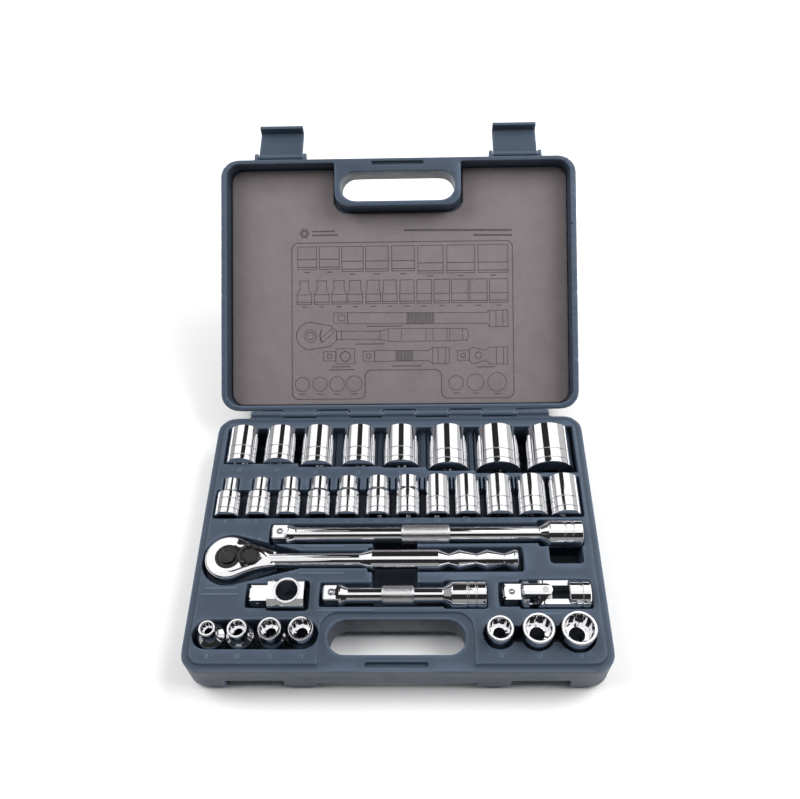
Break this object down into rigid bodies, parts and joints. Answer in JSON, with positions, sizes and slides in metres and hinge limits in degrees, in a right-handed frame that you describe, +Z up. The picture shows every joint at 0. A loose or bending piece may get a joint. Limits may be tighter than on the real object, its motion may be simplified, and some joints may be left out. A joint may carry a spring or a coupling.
{
  "type": "socket wrench set in case",
  "caption": "Hinged blow-moulded carrying case with lid foam, latches and a moulded tray of chrome sockets, a ratchet, extension bars, a sliding T adapter and a universal joint.",
  "frame": {"origin": "middle of the case base's flat bottom", "axes": "+Z up, +Y from the handle towards the hinge, +X along the hinge to the right as seen from the handle"},
  "size_m": [0.325, 0.4641, 0.1842],
  "materials": {
    "case_plastic": "blue-grey blow-moulded polyethylene with a fine moulded texture and a slight sheen",
    "liner_foam": "warm grey closed-cell foam sheet with a darker line print",
    "chrome_plate": "polished bright chrome plate on forged steel",
    "plain_steel": "plain machined steel",
    "black_oxide": "black oxide on steel, satin"
  },
  "bodies": {
    "case_base": {"case_base": "case_plastic", "hinge_pin": "plain_steel"},
    "case_lid": {"case_lid": "case_plastic", "foam_liner": "liner_foam", "latch_pins": "plain_steel"},
    "latch_left": {"latch_left": "case_plastic"},
    "latch_right": {"latch_right": "case_plastic"},
    "ratchet": {"ratchet_handle": "chrome_plate", "ratchet_cover": "plain_steel", "ratchet_screws": "plain_steel", "lever_ball": "plain_steel", "lever_spring": "plain_steel"},
    "drive_gear": {"drive_gear": "black_oxide"},
    "release_button": {"release_button": "black_oxide"},
    "reverse_lever": {"reverse_lever": "black_oxide"},
    "pawl": {"pawl": "plain_steel"},
    "universal_joint": {"joint_male_yoke": "chrome_plate", "joint_long_pin": "plain_steel", "joint_spring": "plain_steel"},
    "joint_cross": {"joint_cross": "plain_steel", "joint_short_pins": "plain_steel"},
    "joint_female_yoke": {"joint_female_yoke": "chrome_plate"},
    "long_extension": {"long_extension": "chrome_plate", "long_extension_spring": "plain_steel"},
    "short_extension": {"short_extension": "chrome_plate", "short_extension_spring": "plain_steel"},
    "tee_adapter": {"tee_adapter": "chrome_plate", "tee_spring": "plain_steel"},
    "socket_32": {"socket_32": "chrome_plate"},
    "socket_20": {"socket_20": "chrome_plate"},
    "socket_08": {"socket_08": "chrome_plate"},
    "standing_socket_19": {"standing_socket_19": "chrome_plate"},
    "socket_21": {"socket_21": "chrome_plate"},
    "socket_22": {"socket_22": "chrome_plate"},
    "socket_23": {"socket_23": "chrome_plate"},
    "socket_24": {"socket_24": "chrome_plate"},
    "socket_27": {"socket_27": "chrome_plate"},
    "socket_30": {"socket_30": "chrome_plate"},
    "socket_09": {"socket_09": "chrome_plate"},
    "socket_10": {"socket_10": "chrome_plate"},
    "socket_11": {"socket_11": "chrome_plate"},
    "socket_12": {"socket_12": "chrome_plate"},
    "socket_13": {"socket_13": "chrome_plate"},
    "socket_14": {"socket_14": "chrome_plate"},
    "socket_15": {"socket_15": "chrome_plate"},
    "socket_16": {"socket_16": "chrome_plate"},
    "socket_17": {"socket_17": "chrome_plate"},
    "socket_18": {"socket_18": "chrome_plate"},
    "socket_19": {"socket_19": "chrome_plate"},
    "standing_socket_08": {"standing_socket_08": "chrome_plate"},
    "standing_socket_10": {"standing_socket_10": "chrome_plate"},
    "standing_socket_12": {"standing_socket_12": "chrome_plate"},
    "standing_socket_13": {"standing_socket_13": "chrome_plate"},
    "standing_socket_14": {"standing_socket_14": "chrome_plate"},
    "standing_socket_17": {"standing_socket_17": "chrome_plate"},
    "drive_ball": {"drive_ball": "plain_steel"},
    "long_extension_ball": {"long_extension_ball": "plain_steel"},
    "short_extension_ball": {"short_extension_ball": "plain_steel"},
    "tee_ball": {"tee_ball": "plain_steel"},
    "joint_ball": {"joint_ball": "plain_steel"}
  },
  "joints": [
    {"name": "lid_hinge", "type": "hinge", "parent": "case_base", "child": "case_lid", "pos_m": [0, 0.1195, 0.038], "axis": [1, 0, 0], "range_deg": [0, 144.6]},
    {"name": "latch_left_swing", "type": "hinge", "parent": "case_lid", "child": "latch_left", "pos_m": [-0.108, 0.31779, 0.16984], "axis": [1, 0, 0], "range_deg": [0, 115]},
    {"name": "latch_right_swing", "type": "hinge", "parent": "case_lid", "child": "latch_right", "pos_m": [0.108, 0.31779, 0.16984], "axis": [1, 0, 0], "range_deg": [0, 115]},
    {"name": "ratchet_lift", "type": "slide", "parent": "case_base", "child": "ratchet", "axis": [0, 0, 1], "range_m": [0, 0.15]},
    {"name": "drive_gear_spin", "type": "hinge", "parent": "ratchet", "child": "drive_gear", "pos_m": [-0.1353, -0.0255, 0.036], "axis": [0, 0, 1], "continuous": true},
    {"name": "release_button_press", "type": "slide", "parent": "drive_gear", "child": "release_button", "axis": [0, 0, -1], "range_m": [0, 0.0025], "stiffness_N_per_m": 400, "springref_m": -0.002},
    {"name": "reverse_lever_turn", "type": "hinge", "parent": "ratchet", "child": "reverse_lever", "pos_m": [-0.117, -0.0255, 0.046], "axis": [0, 0, 1], "range_deg": [0, 28]},
    {"name": "pawl_rock", "type": "hinge", "parent": "ratchet", "child": "pawl", "pos_m": [-0.117, -0.0255, 0.035], "axis": [0, 0, 1], "range_deg": [0, 12]},
    {"name": "universal_joint_lift", "type": "slide", "parent": "case_base", "child": "universal_joint", "axis": [0, 0, 1], "range_m": [0, 0.15]},
    {"name": "joint_cross_swing", "type": "hinge", "parent": "universal_joint", "child": "joint_cross", "pos_m": [0.114, -0.0555, 0.038], "axis": [0, 0, 1], "range_deg": [-1, 1]},
    {"name": "joint_female_tilt", "type": "hinge", "parent": "joint_cross", "child": "joint_female_yoke", "pos_m": [0.114, -0.0555, 0.038], "axis": [0, -1, 0], "range_deg": [0, 40]},
    {"name": "long_extension_lift", "type": "slide", "parent": "case_base", "child": "long_extension", "axis": [0, 0, 1], "range_m": [0, 0.15]},
    {"name": "short_extension_lift", "type": "slide", "parent": "case_base", "child": "short_extension", "axis": [0, 0, 1], "range_m": [0, 0.15]},
    {"name": "tee_adapter_lift", "type": "slide", "parent": "case_base", "child": "tee_adapter", "axis": [0, 0, 1], "range_m": [0, 0.15]},
    {"name": "socket_32_lift", "type": "slide", "parent": "case_base", "child": "socket_32", "axis": [0, 0, 1], "range_m": [0, 0.15]},
    {"name": "socket_20_lift", "type": "slide", "parent": "case_base", "child": "socket_20", "axis": [0, 0, 1], "range_m": [0, 0.15]},
    {"name": "socket_08_lift", "type": "slide", "parent": "case_base", "child": "socket_08", "axis": [0, 0, 1], "range_m": [0, 0.15]},
    {"name": "standing_socket_19_lift", "type": "slide", "parent": "case_base", "child": "standing_socket_19", "axis": [0, 0, 1], "range_m": [0, 0.15]},
    {"name": "socket_21_lift", "type": "slide", "parent": "case_base", "child": "socket_21", "axis": [0, 0, 1], "range_m": [0, 0.15]},
    {"name": "socket_22_lift", "type": "slide", "parent": "case_base", "child": "socket_22", "axis": [0, 0, 1], "range_m": [0, 0.15]},
    {"name": "socket_23_lift", "type": "slide", "parent": "case_base", "child": "socket_23", "axis": [0, 0, 1], "range_m": [0, 0.15]},
    {"name": "socket_24_lift", "type": "slide", "parent": "case_base", "child": "socket_24", "axis": [0, 0, 1], "range_m": [0, 0.15]},
    {"name": "socket_27_lift", "type": "slide", "parent": "case_base", "child": "socket_27", "axis": [0, 0, 1], "range_m": [0, 0.15]},
    {"name": "socket_30_lift", "type": "slide", "parent": "case_base", "child": "socket_30", "axis": [0, 0, 1], "range_m": [0, 0.15]},
    {"name": "socket_09_lift", "type": "slide", "parent": "case_base", "child": "socket_09", "axis": [0, 0, 1], "range_m": [0, 0.15]},
    {"name": "socket_10_lift", "type": "slide", "parent": "case_base", "child": "socket_10", "axis": [0, 0, 1], "range_m": [0, 0.15]},
    {"name": "socket_11_lift", "type": "slide", "parent": "case_base", "child": "socket_11", "axis": [0, 0, 1], "range_m": [0, 0.15]},
    {"name": "socket_12_lift", "type": "slide", "parent": "case_base", "child": "socket_12", "axis": [0, 0, 1], "range_m": [0, 0.15]},
    {"name": "socket_13_lift", "type": "slide", "parent": "case_base", "child": "socket_13", "axis": [0, 0, 1], "range_m": [0, 0.15]},
    {"name": "socket_14_lift", "type": "slide", "parent": "case_base", "child": "socket_14", "axis": [0, 0, 1], "range_m": [0, 0.15]},
    {"name": "socket_15_lift", "type": "slide", "parent": "case_base", "child": "socket_15", "axis": [0, 0, 1], "range_m": [0, 0.15]},
    {"name": "socket_16_lift", "type": "slide", "parent": "case_base", "child": "socket_16", "axis": [0, 0, 1], "range_m": [0, 0.15]},
    {"name": "socket_17_lift", "type": "slide", "parent": "case_base", "child": "socket_17", "axis": [0, 0, 1], "range_m": [0, 0.15]},
    {"name": "socket_18_lift", "type": "slide", "parent": "case_base", "child": "socket_18", "axis": [0, 0, 1], "range_m": [0, 0.15]},
    {"name": "socket_19_lift", "type": "slide", "parent": "case_base", "child": "socket_19", "axis": [0, 0, 1], "range_m": [0, 0.15]},
    {"name": "standing_socket_08_lift", "type": "slide", "parent": "case_base", "child": "standing_socket_08", "axis": [0, 0, 1], "range_m": [0, 0.15]},
    {"name": "standing_socket_10_lift", "type": "slide", "parent": "case_base", "child": "standing_socket_10", "axis": [0, 0, 1], "range_m": [0, 0.15]},
    {"name": "standing_socket_12_lift", "type": "slide", "parent": "case_base", "child": "standing_socket_12", "axis": [0, 0, 1], "range_m": [0, 0.15]},
    {"name": "standing_socket_13_lift", "type": "slide", "parent": "case_base", "child": "standing_socket_13", "axis": [0, 0, 1], "range_m": [0, 0.15]},
    {"name": "standing_socket_14_lift", "type": "slide", "parent": "case_base", "child": "standing_socket_14", "axis": [0, 0, 1], "range_m": [0, 0.15]},
    {"name": "standing_socket_17_lift", "type": "slide", "parent": "case_base", "child": "standing_socket_17", "axis": [0, 0, 1], "range_m": [0, 0.15]},
    {"name": "drive_ball_press", "type": "slide", "parent": "drive_gear", "child": "drive_ball", "axis": [0, -1, 0], "range_m": [0, 0.0009], "stiffness_N_per_m": 500, "springref_m": -0.0005},
    {"name": "long_extension_ball_press", "type": "slide", "parent": "long_extension", "child": "long_extension_ball", "axis": [0, 0, -1], "range_m": [0, 0.0009], "stiffness_N_per_m": 500, "springref_m": -0.0005},
    {"name": "short_extension_ball_press", "type": "slide", "parent": "short_extension", "child": "short_extension_ball", "axis": [0, 0, -1], "range_m": [0, 0.0009], "stiffness_N_per_m": 500, "springref_m": -0.0005},
    {"name": "tee_ball_press", "type": "slide", "parent": "tee_adapter", "child": "tee_ball", "axis": [0, 1, 0], "range_m": [0, 0.0009], "stiffness_N_per_m": 500, "springref_m": -0.0005},
    {"name": "joint_ball_press", "type": "slide", "parent": "universal_joint", "child": "joint_ball", "axis": [0, 0, -1], "range_m": [0, 0.0009], "stiffness_N_per_m": 500, "springref_m": -0.0005}
  ],
  "couplings": [
    {"joint": "pawl_rock", "follows": "reverse_lever_turn", "ratio": 0.4}
  ]
}
